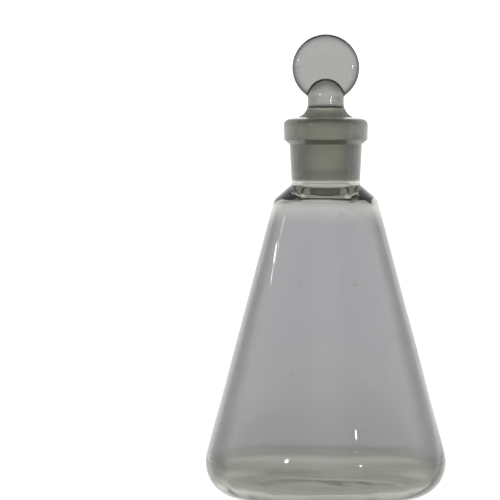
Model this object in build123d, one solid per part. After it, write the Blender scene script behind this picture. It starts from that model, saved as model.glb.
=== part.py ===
from build123d import *
import math
import os

# A conical glass flask, 500 mL, with a ground-glass socket in its neck and a solid penny-head stopper.
# Millimetres, +Z up. The origin is on the axis, in the plane that the flask stands on.
# The penny head is a flat disc whose faces look along -Y and +Y.

# ---- Flask body ----
base_diameter = 105.2  # widest, at the heel
heel_radius = 15.4
cone_half_angle = 14.9  # degrees from the axis
shoulder_half_angle = 50.0  # degrees from the axis
shoulder_height = 129.95  # where the cone and the shoulder slope would meet
shoulder_radius = 7.0

# ---- Walls of the body ----
wall = 2.0
inner_shoulder_half_angle = 63.0  # degrees from the axis, flatter than the outside
inner_shoulder_height = 128.8  # where the insides of the cone and the shoulder would meet
inner_shoulder_radius = 5.0
inner_heel_radius = 13.0
floor_thickness = 3.0
ring_diameter = 60.0  # inside of the flat ring that the flask stands on
push_up = 2.2  # rise of the dished bottom at its centre

# ---- Neck, collar and ground socket ----
mouth_height = 165.6
collar_fall = 1.1  # the collar's crowned top is this much lower at its outer corner
collar_bottom = 153.7
collar_diameter = 37.0
collar_draft = 0.2  # how much smaller in radius the collar is at its lower edge
collar_chamfer = 2.2
collar_chamfer_radius = 0.8
collar_root_radius = 0.6  # where the neck meets the collar
collar_edge_radius = 2.8
neck_top_diameter = 31.7
ground_taper = 0.05  # radius lost per millimetre of depth, a 1 in 10 taper on diameter
mouth_diameter = 24.0
mouth_bevel = 0.5
mouth_edge_radius = 0.3
ground_length = 27.7
corner_radius = 1.5  # outside, where the neck meets the shoulder
throat_radius = 2.5  # inside, below the ground socket

# ---- Stopper ----
running_gap = 0.05  # radial gap between the plug and the socket
plug_top = 165.7
plug_bottom = 141.6
plug_edge_radius = 0.8
stem_radius = 7.9
flare_radius = 6.1
stem_top = 174.6  # centre of the round top of the stem
head_radius = 14.6
head_thickness = 6.5
head_flat_radius = 9.4
head_height = 187.1
joint_blend = 0.8  # fillet between the stem's round top and the faces of the head
head_clearance = 0.1  # the head's rim meets the stem at least this far above stem_top

# ---- Lines of the body's outside, each given by its slope and by its radius at z = 0 ----
cone_slope = math.tan(math.radians(cone_half_angle))
cone_cosine = math.cos(math.radians(cone_half_angle))
cone_foot = base_diameter / 2 + heel_radius * (cone_slope + 1 / cone_cosine - 1)
shoulder_slope = math.tan(math.radians(shoulder_half_angle))
shoulder_foot = cone_foot + (shoulder_slope - cone_slope) * shoulder_height


def crossing(radius_a, slope_a, radius_b, slope_b):
    """Radius and height where two lines meet, each falling by its slope from its radius at z = 0."""
    height = (radius_a - radius_b) / (slope_a - slope_b)
    return radius_a - slope_a * height, height


def socket_radius(height):
    """Radius of the ground socket at a height."""
    return mouth_diameter / 2 - ground_taper * (mouth_height - height)


def outer_corners():
    """Sharp corners of the flask's outside from the heel to the mouth, each with its fillet radius."""
    neck_foot = neck_top_diameter / 2 - ground_taper * collar_bottom
    collar = collar_diameter / 2
    return [
        ((cone_foot, 0), heel_radius),
        (crossing(cone_foot, cone_slope, shoulder_foot, shoulder_slope), shoulder_radius),
        (crossing(shoulder_foot, shoulder_slope, neck_foot, -ground_taper), corner_radius),
        ((neck_top_diameter / 2, collar_bottom), collar_root_radius),
        ((collar - collar_draft, collar_bottom + collar_chamfer), collar_chamfer_radius),
        ((collar, mouth_height - collar_fall), collar_edge_radius),
    ]


def inner_corners():
    """Sharp corners of the flask's inside from the mouth to the floor, each with its fillet radius."""
    cone_inside = cone_foot - wall / cone_cosine
    inner_slope = math.tan(math.radians(inner_shoulder_half_angle))
    shoulder_inside = cone_inside + (inner_slope - cone_slope) * inner_shoulder_height
    bevel_foot = mouth_height - mouth_bevel
    ground_end = mouth_height - ground_length
    throat = socket_radius(ground_end)
    return [
        ((mouth_diameter / 2 + mouth_bevel, mouth_height), mouth_edge_radius),
        ((socket_radius(bevel_foot), bevel_foot), mouth_edge_radius),
        ((throat, ground_end), 0),
        (crossing(shoulder_inside, inner_slope, throat, 0), throat_radius),
        (crossing(shoulder_inside, inner_slope, cone_inside, cone_slope), inner_shoulder_radius),
        ((cone_inside - cone_slope * floor_thickness, floor_thickness), inner_heel_radius),
    ]


def dish(height):
    """Half of the dished bottom's outline, from the axis to the standing ring, above a height."""
    ring = ring_diameter / 2
    dish_radius = (ring**2 + push_up**2) / (2 * push_up)
    half_angle = math.degrees(math.asin(ring / dish_radius))
    return CenterArc((0, height + push_up - dish_radius), dish_radius, 90, -half_angle)


def make_flask():
    """Body, shoulder, neck, collar and ground socket, blown and worked in one piece."""
    ring = ring_diameter / 2
    corners = outer_corners() + inner_corners()
    points = [(ring, 0)] + [corner for corner, _ in corners] + [(ring, floor_thickness)]
    with BuildSketch(Plane.XZ) as section:
        with BuildLine():
            FilletPolyline(*points, radius=[radius for _, radius in corners])
            dish(0)
            dish(floor_thickness)
            Line((0, push_up), (0, floor_thickness + push_up))
        make_face()
    return revolve(section.sketch, Axis.Z)


def make_plug_and_stem():
    """Ground plug, flared up into a round-topped stem."""
    foot = socket_radius(plug_bottom) - running_gap
    top = socket_radius(plug_top) - running_gap
    flare_centre = stem_radius + flare_radius
    flare_rise = math.sqrt(flare_radius**2 - (flare_centre - top) ** 2)
    flare_top = plug_top + flare_rise
    flare_turn = math.degrees(math.asin(flare_rise / flare_radius))
    with BuildSketch(Plane.XZ) as section:
        with BuildLine():
            corners = [(0, plug_bottom), (foot, plug_bottom), (top, plug_top)]
            FilletPolyline(*corners, radius=plug_edge_radius)
            CenterArc((flare_centre, flare_top), flare_radius, 180, flare_turn)
            Line((stem_radius, flare_top), (stem_radius, stem_top))
            CenterArc((0, stem_top), stem_radius, 0, 90)
            Line((0, stem_top + stem_radius), (0, plug_bottom))
        make_face()
    return revolve(section.sketch, Axis.Z)


def make_head():
    """Penny head: a flat disc on edge, its rim rounded off from both faces."""
    half = head_thickness / 2
    rim = head_radius - head_flat_radius
    with BuildSketch(Plane.XY) as section:
        with BuildLine():
            Line((0, -half), (head_flat_radius, -half))
            EllipticalCenterArc((head_flat_radius, 0), rim, half, start_angle=-90, arc_size=180)
            Line((head_flat_radius, half), (0, half))
            Line((0, half), (0, -half))
        make_face()
    return Pos(0, 0, head_height) * revolve(section.sketch, Axis.Y)


def on_joint(edge):
    """True for the edges where the stem's round top runs into the head."""
    box = edge.bounding_box()
    return stem_top < box.min.Z - head_clearance and box.max.Z < stem_top + stem_radius


def make_stopper():
    """Solid pressed stopper: plug, stem and penny head in one piece."""
    joined = make_plug_and_stem() + make_head()
    return joined.fillet(joint_blend, [edge for edge in joined.edges() if on_joint(edge)])


os.makedirs("parts", exist_ok=True)
export_step(make_flask(), "parts/flask.step")
export_step(make_stopper(), "parts/stopper.step")
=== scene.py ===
import math

import bpy
import numpy as np
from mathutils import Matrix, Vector, noise


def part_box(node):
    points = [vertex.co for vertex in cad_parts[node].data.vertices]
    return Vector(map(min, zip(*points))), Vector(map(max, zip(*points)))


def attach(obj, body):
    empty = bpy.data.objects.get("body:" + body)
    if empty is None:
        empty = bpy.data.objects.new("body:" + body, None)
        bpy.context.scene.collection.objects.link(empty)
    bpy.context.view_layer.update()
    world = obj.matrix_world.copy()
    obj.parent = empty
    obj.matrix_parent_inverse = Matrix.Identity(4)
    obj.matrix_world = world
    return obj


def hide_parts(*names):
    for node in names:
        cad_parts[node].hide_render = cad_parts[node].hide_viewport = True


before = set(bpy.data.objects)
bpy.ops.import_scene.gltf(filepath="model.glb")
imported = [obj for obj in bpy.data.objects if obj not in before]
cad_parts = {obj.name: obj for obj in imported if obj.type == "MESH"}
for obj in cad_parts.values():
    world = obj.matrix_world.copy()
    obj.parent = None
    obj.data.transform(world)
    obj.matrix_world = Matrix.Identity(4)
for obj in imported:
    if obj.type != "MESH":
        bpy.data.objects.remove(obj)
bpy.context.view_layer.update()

# Lengths in this script are millimetres; MM turns them into Blender's metres.
MM = 0.001

# ---- Places read from the frame ----
stopper_low, stopper_high = (Vector(corner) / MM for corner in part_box("stopper"))
plug_bottom = stopper_low.z

# ---- Flask ----
base_radius = 52.6  # widest, at the heel
heel_radius = 15.4
cone_half_angle = math.radians(14.9)
shoulder_half_angle = math.radians(50.0)
shoulder_height = 129.95
shoulder_radius = 7.0
wall = 2.0
inner_shoulder_half_angle = math.radians(63.0)
inner_shoulder_height = 128.8
floor_thickness = 3.0
inner_heel_radius = 13.0
inner_shoulder_radius = 5.0
throat_radius = 2.5
ring_radius = 30.0
push_up = 2.2
mouth_height = 165.6  # of the mouth's sharp corner, before its edge is rounded
mouth_radius = 12.0
mouth_bevel = 0.5
mouth_edge_radius = 0.3
ground_taper = 0.05
ground_length = 27.7
neck_foot_height = 138.0  # where the blown body ends and the thick neck starts
neck_foot_fillet = 1.5
neck_top_radius = 15.85
collar_radius = 18.5
collar_bottom = 153.7
collar_draft = 0.2  # how much smaller in radius the collar is at its lower edge
collar_chamfer = 2.2
collar_chamfer_radius = 0.8
collar_root_radius = 0.6
collar_edge_radius = 2.8
collar_fall = 1.1  # the crowned top of the collar is this much lower at its outer corner

# ---- Stopper ----
running_gap = 0.05
plug_top = 165.7
stem_radius = 7.9
flare_radius = 6.1
stem_top = 174.6  # centre of the round top of the stem
head_radius = 14.6
head_height = stopper_high.z - head_radius
head_thickness = 6.5
head_power = 5  # the higher, the flatter the faces of the disc and the tighter its rim
head_blend = 0.9  # width over which the stem runs into the head
plug_blend = 1.0  # width of the rounding at the plug's lower edge
grind_start = 0.5  # height above the plug's lower end where the grind starts
grind_top = 169.6

# ---- Fineness of the meshes ----
lathe_segments = 232
net_step = 0.25

# ---- Unevenness of the blown glass: depths, and the heights where the inside strays most ----
outside_stray = 0.03
inside_stray = 0.12
extra_stray = 0.5
heel_stray_height, heel_stray_spread = 10, 8
shoulder_stray_height, shoulder_stray_spread = 130, 6
true_below_socket = 4  # the glass is true from this far below the ground socket
broad_wave, drawn_wave, drawn_length = 28, 9, 40

# ---- Waviness of the pressed glass ----
press_wave = 0.01
press_wave_start = 3  # height above the plug where the waves start, and over which they grow


# ---------------------------------------------------------------- outlines

def run(start, end, step=1.5):
    """Evenly spaced points of a straight run, without its first."""
    count = max(1, math.ceil((end - start).length / step))
    return [start.lerp(end, i / count) for i in range(1, count + 1)]


def rounded(points, radii, arc_step=math.radians(4)):
    """A dense outline through sharp corners, each rounded to its radius; the two end points stay."""
    corners = [Vector(point) for point in points]
    outline = [corners[0]]
    for before, corner, after, radius in zip(corners, corners[1:], corners[2:], radii):
        back = (before - corner).normalized()
        ahead = (after - corner).normalized()
        turn = math.pi - back.angle(ahead)
        reach = radius * math.tan(turn / 2)
        centre = corner + (back + ahead).normalized() * radius / math.cos(turn / 2)
        outline += run(outline[-1], corner + back * reach)
        start = corner + back * reach - centre
        end = corner + ahead * reach - centre
        steps = math.ceil(turn / arc_step)
        for step in range(1, steps + 1):
            share = step / steps
            spoke = start * math.sin((1 - share) * turn) + end * math.sin(share * turn)
            outline.append(centre + spoke / math.sin(turn))
    return outline + run(outline[-1], corners[-1])


def eased(outline, low=8, high=26, passes=6):
    """The outline with its straight and round stretches run smoothly together where heel meets cone."""
    for _ in range(passes):
        middles = [(a + 2 * b + c) / 4 for a, b, c in zip(outline, outline[1:], outline[2:])]
        outline[1:-1] = [m if low < p.y < high else p for p, m in zip(outline[1:-1], middles)]
    return outline


def dish(height):
    """The dished bottom's outline from the axis to the standing ring, above a height."""
    dish_radius = (ring_radius**2 + push_up**2) / (2 * push_up)
    centre = height + push_up - dish_radius
    spots = np.linspace(0, ring_radius, 20)
    return [Vector((r, centre + math.sqrt(dish_radius**2 - r**2))) for r in spots]


def crossing(radius_a, slope_a, radius_b, slope_b):
    """Radius and height where two lines meet, each falling by its slope from its radius at z = 0."""
    height = (radius_a - radius_b) / (slope_a - slope_b)
    return radius_a - slope_a * height, height


def socket_radius(height):
    """Radius of the ground socket at a height."""
    return mouth_radius - ground_taper * (mouth_height - height)


def flask_outline():
    """The flask's section from the bottom's centre, up the outside, over the mouth and down the inside."""
    cone_slope = math.tan(cone_half_angle)
    shoulder_slope = math.tan(shoulder_half_angle)
    cone_foot = base_radius + heel_radius * (cone_slope + 1 / math.cos(cone_half_angle) - 1)
    shoulder_foot = cone_foot + (shoulder_slope - cone_slope) * shoulder_height
    neck_foot = neck_top_radius - ground_taper * collar_bottom
    bevel_foot = mouth_height - mouth_bevel
    outside = [
        ((cone_foot, 0), heel_radius),
        (crossing(cone_foot, cone_slope, shoulder_foot, shoulder_slope), shoulder_radius),
        (crossing(shoulder_foot, shoulder_slope, neck_foot, -ground_taper), neck_foot_fillet),
        ((neck_top_radius, collar_bottom), collar_root_radius),
        ((collar_radius - collar_draft, collar_bottom + collar_chamfer), collar_chamfer_radius),
        ((collar_radius, mouth_height - collar_fall), collar_edge_radius),
        ((mouth_radius + mouth_bevel, mouth_height), mouth_edge_radius),
        ((socket_radius(bevel_foot), bevel_foot), mouth_edge_radius),
    ]
    cone_inside = cone_foot - wall / math.cos(cone_half_angle)
    inner_slope = math.tan(inner_shoulder_half_angle)
    shoulder_inside = cone_inside + (inner_slope - cone_slope) * inner_shoulder_height
    throat = socket_radius(mouth_height - ground_length)
    inside = [
        (crossing(shoulder_inside, inner_slope, throat, 0), throat_radius),
        (crossing(shoulder_inside, inner_slope, cone_inside, cone_slope), inner_shoulder_radius),
        ((cone_inside - cone_slope * floor_thickness, floor_thickness), inner_heel_radius),
    ]
    ground_end = (throat, mouth_height - ground_length)
    upper = [(ring_radius, 0)] + [corner for corner, _ in outside] + [ground_end]
    lower = [ground_end] + [corner for corner, _ in inside] + [(ring_radius, floor_thickness)]
    up = rounded(upper, [radius for _, radius in outside])
    down = rounded(lower, [radius for _, radius in inside])
    return dish(0)[:-1] + eased(up) + eased(down)[1:] + dish(floor_thickness)[::-1][1:]


# ---------------------------------------------------------------- meshes

def new_piece(name, verts, faces):
    """A smooth-shaded object from points in metres and faces, linked into the scene."""
    mesh = bpy.data.meshes.new(name)
    mesh.from_pydata(verts, [], faces)
    mesh.shade_smooth()
    piece = bpy.data.objects.new(name, mesh)
    bpy.context.scene.collection.objects.link(piece)
    return piece


def uneven(radius, angle, height, depth):
    """How far, in mm, blown glass strays from its ideal surface, for a largest stray of depth."""
    x, y = radius * math.cos(angle), radius * math.sin(angle)
    broad = noise.noise(Vector((x, y, height)) / broad_wave)
    drawn = noise.noise(Vector((x / drawn_wave, y / drawn_wave, height / drawn_length)))
    return depth * (0.7 * broad + 0.3 * drawn)


def stray_depth(radius, height, inside):
    """Blown glass is nearly true outside, and uneven inside, most of all at heel and shoulder."""
    if height > mouth_height - ground_length - true_below_socket:
        return 0.0
    if not inside:
        return outside_stray * min(1, height / heel_radius)
    heel = math.exp(-((height - heel_stray_height) / heel_stray_spread) ** 2)
    shoulder = math.exp(-((height - shoulder_stray_height) / shoulder_stray_spread) ** 2)
    return inside_stray + extra_stray * heel + extra_stray * shoulder


def lathe(name, outline, segments):
    """Turns an outline of (radius, height) points, which starts and ends on the axis, round Z.

    Outside, the glass strays only inwards, so that it stays inside the ideal shape.
    """
    angles = [2 * math.pi * k / segments for k in range(segments)]
    top = max(range(len(outline)), key=lambda i: outline[i].y)
    verts = [(0, 0, outline[0].y * MM)]
    for i in range(1, len(outline) - 1):
        radius, height = outline[i]
        ahead = outline[i + 1] - outline[i - 1]
        out = Vector((ahead.y, -ahead.x)).normalized()
        inside = i > top
        depth = stray_depth(radius, height, inside)
        inward = 0 if inside else depth
        for angle in angles:
            stray = uneven(radius, angle, height, depth) - inward
            r, z = radius + out.x * stray, height + out.y * stray
            verts.append((r * math.cos(angle) * MM, r * math.sin(angle) * MM, z * MM))
    verts.append((0, 0, outline[-1].y * MM))
    faces = [(0, 1 + (k + 1) % segments, 1 + k) for k in range(segments)]
    for i in range(len(outline) - 3):
        for k in range(segments):
            a, b = 1 + i * segments + k, 1 + i * segments + (k + 1) % segments
            faces.append((a, b, b + segments, a + segments))
    last = len(verts) - 1
    row = last - segments
    faces += [(last, row + k, row + (k + 1) % segments) for k in range(segments)]
    return new_piece(name, verts, faces)


def soft_min(a, b, blend):
    """The smaller of two fields, with their crossing rounded over a width of about blend."""
    share = np.clip(0.5 + 0.5 * (b - a) / blend, 0, 1)
    return b + (a - b) * share - blend * share * (1 - share)


def stem_field(radius, z):
    """Field of the plug, its flare and the round-topped stem, all turned about Z. It is negative inside."""
    plug_radius = mouth_radius - running_gap - ground_taper * (mouth_height - z)
    plug_side = (radius - plug_radius) / math.hypot(1, ground_taper)
    foot = plug_bottom - z
    plug = -soft_min(-plug_side, -foot, plug_blend)
    plug = np.maximum(plug, z - plug_top)
    top_radius = mouth_radius - running_gap + ground_taper * (plug_top - mouth_height)
    centre = stem_radius + flare_radius
    flare_top = plug_top + math.sqrt(flare_radius**2 - (centre - top_radius) ** 2)
    hollow = flare_radius - np.hypot(radius - centre, z - flare_top)
    flare = np.maximum.reduce([hollow, z - flare_top, plug_top - 1 - z, plug_side])
    stem = np.hypot(radius, np.maximum(z - stem_top, 0)) - stem_radius
    stem = np.maximum(stem, plug_top - z)
    return np.minimum.reduce([plug, flare, stem])


def head_field(x, y, z):
    """Field of the penny head: nearly flat faces that run smoothly round into the rim."""
    half = head_thickness / 2
    across = np.hypot(x, z - head_height) / head_radius
    along = y / half
    slope = np.hypot(head_power * across ** (head_power - 1) / head_radius, 2 * along / half)
    return (across**head_power + along**2 - 1) / np.maximum(slope, 0.05)


def stopper_field(x, y, z):
    """Field of the whole stopper, with the faint waviness of a pressed surface."""
    stem = stem_field(np.hypot(x, y), z)
    whole = soft_min(stem, head_field(x, y, z), head_blend)
    clear = np.clip((z - plug_top - press_wave_start) / press_wave_start, 0, 1)
    ripple = np.sin(x / 1.9 + 0.7 * np.sin(z / 3.1)) * np.sin(z / 2.3 + 0.9 * np.sin(x / 2.7))
    return whole + clear * (press_wave + press_wave * ripple)


def field_slope(field, spots, step=0.01):
    """Gradient of a field at an array of points."""
    slope = np.empty_like(spots)
    for axis in range(3):
        ahead, back = spots.copy(), spots.copy()
        ahead[:, axis] += step
        back[:, axis] -= step
        slope[:, axis] = (field(*ahead.T) - field(*back.T)) / (2 * step)
    return slope


def net(name, field, low, high, step):
    """A quad mesh of the surface where a field is zero.

    Each grid cell that the surface passes through gets one point, the mean of the crossings on the
    cell's edges, which is then drawn onto the surface. Each crossed edge gets one face.
    """
    ticks = [np.arange(a - 2 * step, b + 3 * step, step) for a, b in zip(low, high)]
    values = field(*np.meshgrid(*ticks, indexing="ij"))
    inside = values < 0
    cells = np.array(inside.shape) - 1
    total = np.zeros((*cells, 3))
    count = np.zeros(cells)
    crossings = []
    for axis in range(3):
        a = [slice(None)] * 3
        b = [slice(None)] * 3
        a[axis], b[axis] = slice(None, -1), slice(1, None)
        crossed = inside[tuple(a)] != inside[tuple(b)]
        spots = np.argwhere(crossed)
        start = values[tuple(a)][crossed]
        share = start / (start - values[tuple(b)][crossed])
        place = spots.astype(float)
        place[:, axis] += share
        crossings.append((spots, inside[tuple(a)][crossed]))
        others = [k for k in range(3) if k != axis]
        for shift_a in (0, 1):
            for shift_b in (0, 1):
                cell = spots.copy()
                cell[:, others[0]] -= shift_a
                cell[:, others[1]] -= shift_b
                np.add.at(total, tuple(cell.T), place)
                np.add.at(count, tuple(cell.T), 1)
    used = count > 0
    number = np.full(cells, -1)
    number[used] = np.arange(used.sum())
    spots = np.array([t[0] for t in ticks]) + total[used] / count[used][:, None] * step
    for _ in range(3):
        slope = field_slope(field, spots)
        spots -= slope * (field(*spots.T) / (slope**2).sum(1))[:, None]
    faces = []
    for axis, (edges, starts_inside) in enumerate(crossings):
        u, v = np.eye(3, dtype=int)[[(axis + 1) % 3, (axis + 2) % 3]]
        ring = [edges - u - v, edges - v, edges, edges - u]
        quads = np.stack([number[tuple(cell.T)] for cell in ring], axis=1)
        quads[~starts_inside] = quads[~starts_inside][:, ::-1]
        faces.append(quads)
    return new_piece(name, (spots * MM).tolist(), np.vstack(faces).tolist())


# ---------------------------------------------------------------- materials

# Colours of the glass by height as (height in mm, colour), each the glass's own tint together with painted
# shade and light.
# The overall grey stands for a grey backdrop seen through the glass. The bands are painted: darker at the
# bottom, a dark band low on the heel, and lighter at the shoulder and the collar. The edge tables hold
# painted shade where the glass is seen aslant. It is deeper than the glass's longer path would give: nearly
# black at the heel, lighter at the shoulder.
body_tint_and_painted_shade = [
    (3, (0.4, 0.405, 0.382)),
    (6, (0.62, 0.625, 0.592)),
    (9, (0.56, 0.565, 0.535)),
    (12.5, (0.56, 0.565, 0.535)),
    (15.5, (0.36, 0.365, 0.344)),
    (21, (0.51, 0.51, 0.515)),
    (118, (0.53, 0.53, 0.54)),
    (127, (0.61, 0.61, 0.60)),
    (134, (0.58, 0.58, 0.56)),
    (139, (0.58, 0.58, 0.56)),
]
body_edge_painted_shade = [
    (2, (0.26, 0.26, 0.245)),
    (5.2, (0.62, 0.62, 0.59)),
    (7.5, (0.05, 0.05, 0.045)),
    (13, (0.05, 0.05, 0.045)),
    (20, (0.2, 0.2, 0.2)),
    (118, (0.2, 0.2, 0.2)),
    (130, (0.9, 0.9, 0.87)),
]
neck_tint_and_painted_shade = [(138, (0.58, 0.58, 0.55)), (142, (0.62, 0.62, 0.58)), (144, (0.88, 0.88, 0.82))]
neck_edge_painted_shade = [(138, (0.3, 0.3, 0.28)), (143, (0.16, 0.16, 0.15))]
flask_grind_tint = (0.91, 0.91, 0.83)
stopper_grind_tint = (0.93, 0.93, 0.85)
grind_edge_tint = (0.78, 0.78, 0.70)
# The stopper's colours by height: the dark band over the flare, from 169 to 170.5 mm, is painted shade.
stopper_tint_and_painted_shade = [
    (165, (0.8, 0.8, 0.76)),
    (169, (0.12, 0.12, 0.11)),
    (170.5, (0.12, 0.12, 0.11)),
    (172, (0.305, 0.305, 0.30)),
]
stopper_edge_painted_shade = [(169, (0.12, 0.12, 0.11)), (172, (0.25, 0.25, 0.24)), (180, (0.10, 0.10, 0.10))]

# How far aslant, from 0 to 1, each glass starts to take its edge colour and has all of it; on the clear
# glass that colour is painted shade.
body_edge = (0.38, 0.7)
neck_edge = (0.0, 0.32)
stopper_edge = (0.05, 0.32)
grind_edge = (0.0, 0.25)

absorption_colour = (0.78, 0.80, 0.72)
absorption_density = 60
grind_transmission = 0.88
grind_scale = 400
grind_roughness = (0.4, 0.6)
seed_scale = 140
seed_size = (0.03, 0.06)  # a seed is fully dark within the first, and gone at the second
seed_colour = (0.05, 0.05, 0.05)


def set_stops(ramp, rows):
    """Fills a colour ramp from a list of (position, colour)."""
    stops = ramp.color_ramp.elements
    while len(stops) < len(rows):
        stops.new(0.5)
    for stop, (position, colour) in zip(stops, rows):
        stop.position = position
        stop.color = (*colour, 1)


def by_height(nodes, links, tint_and_shade):
    """A colour that changes smoothly with height, from a list of (height in mm, colour): the glass's tint
    with painted shade and light.
    """
    place = nodes.new("ShaderNodeTexCoord")
    split = nodes.new("ShaderNodeSeparateXYZ")
    links.new(place.outputs["Object"], split.inputs["Vector"])
    share = nodes.new("ShaderNodeMapRange")
    share.inputs["From Max"].default_value = stopper_high.z * MM
    links.new(split.outputs["Z"], share.inputs["Value"])
    ramp = nodes.new("ShaderNodeValToRGB")
    ramp.color_ramp.interpolation = "EASE"
    set_stops(ramp, [(height / stopper_high.z, tint) for height, tint in tint_and_shade])
    links.new(share.outputs["Result"], ramp.inputs["Fac"])
    return ramp.outputs["Color"]


def add_absorption(nodes, links):
    """The olive tinge that this glass has where it is thick."""
    bulk = nodes.new("ShaderNodeVolumeAbsorption")
    bulk.inputs["Color"].default_value = (*absorption_colour, 1)
    bulk.inputs["Density"].default_value = absorption_density
    links.new(bulk.outputs["Volume"], nodes["Material Output"].inputs["Volume"])


def add_seeds(nodes, links, colour):
    """Darkens a colour at a few tiny seeds, the bubbles that are caught in the glass."""
    place = nodes.new("ShaderNodeTexCoord")
    cells = nodes.new("ShaderNodeTexVoronoi")
    cells.inputs["Scale"].default_value = seed_scale
    links.new(place.outputs["Object"], cells.inputs["Vector"])
    seed = nodes.new("ShaderNodeMapRange")
    seed.inputs["From Min"].default_value, seed.inputs["From Max"].default_value = seed_size
    seed.inputs["To Min"].default_value = 1
    seed.inputs["To Max"].default_value = 0
    links.new(cells.outputs["Distance"], seed.inputs["Value"])
    seeded = nodes.new("ShaderNodeMix")
    seeded.data_type = "RGBA"
    seeded.inputs["B"].default_value = (*seed_colour, 1)
    links.new(colour, seeded.inputs["A"])
    links.new(seed.outputs["Result"], seeded.inputs["Factor"])
    return seeded.outputs["Result"]


def new_glass(name, transmission):
    """A new material of glass, with its nodes, links and shader."""
    mat = bpy.data.materials.new(name)
    mat.use_nodes = True
    nodes, links = mat.node_tree.nodes, mat.node_tree.links
    shader = nodes["Principled BSDF"]
    shader.inputs["Transmission Weight"].default_value = transmission
    shader.inputs["IOR"].default_value = 1.5
    return mat, nodes, links, shader


def edge_mix(nodes, links, edge):
    """A mix from colour A to colour B as the surface is seen more aslant, over the range of edge."""
    facing = nodes.new("ShaderNodeLayerWeight")
    facing.inputs["Blend"].default_value = 0.5
    share = nodes.new("ShaderNodeMapRange")
    share.interpolation_type = "SMOOTHSTEP"
    share.inputs["From Min"].default_value, share.inputs["From Max"].default_value = edge
    links.new(facing.outputs["Facing"], share.inputs["Value"])
    colour = nodes.new("ShaderNodeMix")
    colour.data_type = "RGBA"
    links.new(share.outputs["Result"], colour.inputs["Factor"])
    return colour


def glass(name, tint_and_shade, edge_shade, edge):
    """Clear glass, coloured by height with its tint and painted shade and light, darkened at its edges with
    painted shade, and olive where it is thick.
    """
    mat, nodes, links, shader = new_glass(name, 1)
    shader.inputs["Roughness"].default_value = 0.0
    colour = edge_mix(nodes, links, edge)
    links.new(by_height(nodes, links, tint_and_shade), colour.inputs["A"])
    links.new(by_height(nodes, links, edge_shade), colour.inputs["B"])
    links.new(add_seeds(nodes, links, colour.outputs["Result"]), shader.inputs["Base Color"])
    add_absorption(nodes, links)
    return mat


def ground_glass(name, tint, edge_tint):
    """Finely ground glass: the same glass with a matt, slightly uneven grind, darker where seen aslant."""
    mat, nodes, links, shader = new_glass(name, grind_transmission)
    colour = edge_mix(nodes, links, grind_edge)
    colour.inputs["A"].default_value = (*tint, 1)
    colour.inputs["B"].default_value = (*edge_tint, 1)
    links.new(colour.outputs["Result"], shader.inputs["Base Color"])
    place = nodes.new("ShaderNodeTexCoord")
    grind = nodes.new("ShaderNodeTexNoise")
    grind.inputs["Scale"].default_value = grind_scale
    grind.inputs["Detail"].default_value = 3
    links.new(place.outputs["Object"], grind.inputs["Vector"])
    rough = nodes.new("ShaderNodeMapRange")
    rough.inputs["To Min"].default_value, rough.inputs["To Max"].default_value = grind_roughness
    links.new(grind.outputs["Fac"], rough.inputs["Value"])
    links.new(rough.outputs["Result"], shader.inputs["Roughness"])
    add_absorption(nodes, links)
    return mat


def assign(piece, materials, zone):
    """Gives a piece its materials, by the zone number of each face's centre."""
    for mat in materials:
        piece.data.materials.append(mat)
    for face in piece.data.polygons:
        face.material_index = zone(face.center / MM)


def flask_zone(spot):
    """0 on the blown body, 1 on the thick neck and collar, 2 in the ground socket."""
    radius = math.hypot(spot.x, spot.y)
    if spot.z < neck_foot_height:
        return 0
    margin = 0.02
    in_socket = spot.z < mouth_height - mouth_bevel and radius < socket_radius(spot.z) + margin
    return 2 if in_socket else 1


def stopper_zone(spot):
    """0 on the clear glass, 1 on the ground plug and the flare above it."""
    return int(plug_bottom + grind_start < spot.z < grind_top)


# ---------------------------------------------------------------- stage

camera_spot = Vector((0, -1870, 155))
camera_aim = Vector((-33.0, 0, 107.8))
frame_width = 217.85  # width of the view at the aim

# Brightness of the studio at the horizon and overhead, between two heights of the direction looked
# in (0 level, 1 straight up), and its factor at the sides, between two sideways parts of it.
horizon_level, overhead_level = 1.32, 0.6
overhead_start, overhead_end = 0.2, 0.7
side_level = 0.78
side_start, side_end = 0.12, 0.5

# Small lamps as (name, where their glint shows across and up the flask, width and height).
lamp_distance = 1500
lamp_radiance = 50
lamps = [
    ("strip_lamp", -21.9, 107, 60, 10),
    ("front_lamp", 12.9, 30, 30, 6),
    ("left_heel_lamp", -16.7, 18.5, 60, 110),
    ("right_heel_lamp", 14.9, 17.2, 50, 90),
]

glass_bounces = 24  # enough for light to cross every wall of both pieces

floor_size = 30.0  # metres
floor_drop = 0.02  # gap under the flask, so that the two surfaces don't coincide
floor_colour = (0.08, 0.08, 0.08)
floor_roughness = 0.9
# Glow of the floor as (distance from the flask's axis in metres, colour). The floor glows instead of being
# lit, and its glow holds painted shade: the dimmer disc under the flask is a painted shadow, and the dimmer
# ring from 0.26 to 0.285 m is a painted dark band.
floor_glow_and_painted_shade = [
    (0.040, (0.95, 0.95, 0.93)),
    (0.052, (1.22, 1.22, 1.17)),
    (0.260, (1.22, 1.22, 1.17)),
    (0.272, (0.95, 0.95, 0.94)),
    (0.285, (0.95, 0.95, 0.95)),
    (0.320, (1.10, 1.10, 1.11)),
    (0.900, (1.31, 1.31, 1.34)),
]


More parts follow.
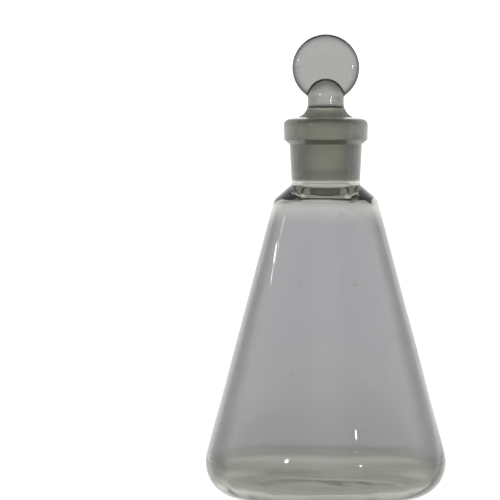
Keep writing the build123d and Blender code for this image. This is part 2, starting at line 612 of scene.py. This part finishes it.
def add_floor():
    """A wide pale floor that glows in soft rings instead of being lit, so that the flask's own shadow stays
    faint; its dimmer rings are painted shade.
    """
    size = floor_size
    corners = [(-size, -size, 0), (size, -size, 0), (size, size, 0), (-size, size, 0)]
    floor = new_piece("floor", corners, [(0, 1, 2, 3)])
    floor.location.z = -floor_drop * MM
    white = bpy.data.materials.new("glowing_floor_painted_shade")
    white.use_nodes = True
    nodes, links = white.node_tree.nodes, white.node_tree.links
    shader = nodes["Principled BSDF"]
    shader.inputs["Base Color"].default_value = (*floor_colour, 1)
    shader.inputs["Roughness"].default_value = floor_roughness
    shader.inputs["Specular IOR Level"].default_value = 0
    place = nodes.new("ShaderNodeTexCoord")
    span = nodes.new("ShaderNodeVectorMath")
    span.operation = "LENGTH"
    links.new(place.outputs["Object"], span.inputs[0])
    glow = nodes.new("ShaderNodeValToRGB")
    set_stops(glow, floor_glow_and_painted_shade)
    links.new(span.outputs["Value"], glow.inputs["Fac"])
    links.new(glow.outputs["Color"], shader.inputs["Emission Color"])
    shader.inputs["Emission Strength"].default_value = 1.0
    floor.data.materials.append(white)


def add_world():
    """A studio that is white in front and behind at eye level, and greyer overhead and at the sides."""
    world = bpy.data.worlds.new("studio")
    bpy.context.scene.world = world
    world.use_nodes = True
    nodes, links = world.node_tree.nodes, world.node_tree.links
    sky = nodes["Background"]
    sky.inputs["Color"].default_value = (1, 1, 1, 1)
    place = nodes.new("ShaderNodeTexCoord")
    split = nodes.new("ShaderNodeSeparateXYZ")
    links.new(place.outputs["Generated"], split.inputs["Vector"])
    dim = nodes.new("ShaderNodeMapRange")
    dim.interpolation_type = "SMOOTHSTEP"
    dim.inputs["From Min"].default_value = overhead_start
    dim.inputs["From Max"].default_value = overhead_end
    dim.inputs["To Min"].default_value = horizon_level
    dim.inputs["To Max"].default_value = overhead_level
    links.new(split.outputs["Z"], dim.inputs["Value"])
    side = nodes.new("ShaderNodeMath")
    side.operation = "ABSOLUTE"
    links.new(split.outputs["X"], side.inputs[0])
    fade = nodes.new("ShaderNodeMapRange")
    fade.interpolation_type = "SMOOTHSTEP"
    fade.inputs["From Min"].default_value = side_start
    fade.inputs["From Max"].default_value = side_end
    fade.inputs["To Min"].default_value = 1
    fade.inputs["To Max"].default_value = side_level
    links.new(side.outputs["Value"], fade.inputs["Value"])
    both = nodes.new("ShaderNodeMath")
    both.operation = "MULTIPLY"
    links.new(dim.outputs["Result"], both.inputs[0])
    links.new(fade.outputs["Result"], both.inputs[1])
    links.new(both.outputs["Value"], sky.inputs["Strength"])


def front_of_flask(across, height):
    """A spot on the front of the cone or the heel, and the angle by which the glass there faces up."""
    cone_start = heel_radius * (1 + math.sin(cone_half_angle))
    tilt = math.asin(min(height, cone_start) / heel_radius - 1)
    radius = base_radius - heel_radius * (1 - math.cos(tilt))
    radius -= max(0, height - cone_start) * math.tan(cone_half_angle)
    return Vector((across, -math.sqrt(radius**2 - across**2), height)), tilt


def add_lamp(name, across, height, lamp_width, lamp_height):
    """A small lamp, placed so that the camera sees its reflection at a spot on the front of the flask."""
    spot, tilt = front_of_flask(across, height)
    out = Vector((spot.x, spot.y, 0)).normalized()
    facing = out * math.cos(tilt) + Vector((0, 0, math.sin(tilt)))
    ahead = (spot - camera_spot).normalized().reflect(facing)
    data = bpy.data.lights.new(name, "AREA")
    data.shape = "RECTANGLE"
    data.size, data.size_y = lamp_width * MM, lamp_height * MM
    data.energy = lamp_radiance * math.pi * data.size * data.size_y
    lamp = bpy.data.objects.new(name, data)
    lamp.location = (spot + ahead * lamp_distance) * MM
    lamp.rotation_euler = (-ahead).to_track_quat("-Z", "Y").to_euler()
    bpy.context.scene.collection.objects.link(lamp)


def add_camera():
    """Level with the flask's collar, looking slightly down, with the object right of the frame's middle."""
    data = bpy.data.cameras.new("camera")
    camera = bpy.data.objects.new("camera", data)
    bpy.context.scene.collection.objects.link(camera)
    camera.location = camera_spot * MM
    direction = camera_aim * MM - camera.location
    camera.rotation_euler = direction.to_track_quat("-Z", "Y").to_euler()
    data.angle = 2 * math.atan(frame_width * MM / 2 / direction.length)
    bpy.context.scene.camera = camera


# ---------------------------------------------------------------- build

flask = lathe("blown_flask", flask_outline(), lathe_segments)
flask_materials = [
    glass("flask_clear", body_tint_and_painted_shade, body_edge_painted_shade, body_edge),
    glass("flask_neck", neck_tint_and_painted_shade, neck_edge_painted_shade, neck_edge),
    ground_glass("flask_ground", flask_grind_tint, grind_edge_tint),
]
assign(flask, flask_materials, flask_zone)
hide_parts("flask")
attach(flask, "flask")

stopper = net("pressed_stopper", stopper_field, stopper_low, stopper_high, net_step)
stopper_materials = [
    glass("stopper_clear", stopper_tint_and_painted_shade, stopper_edge_painted_shade, stopper_edge),
    ground_glass("stopper_ground", stopper_grind_tint, grind_edge_tint),
]
assign(stopper, stopper_materials, stopper_zone)
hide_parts("stopper")
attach(stopper, "stopper")

add_floor()
add_world()
for lamp in lamps:
    add_lamp(*lamp)
add_camera()
scene = bpy.context.scene
scene.view_settings.view_transform = "Standard"
scene.cycles.max_bounces = glass_bounces
scene.cycles.transmission_bounces = glass_bounces
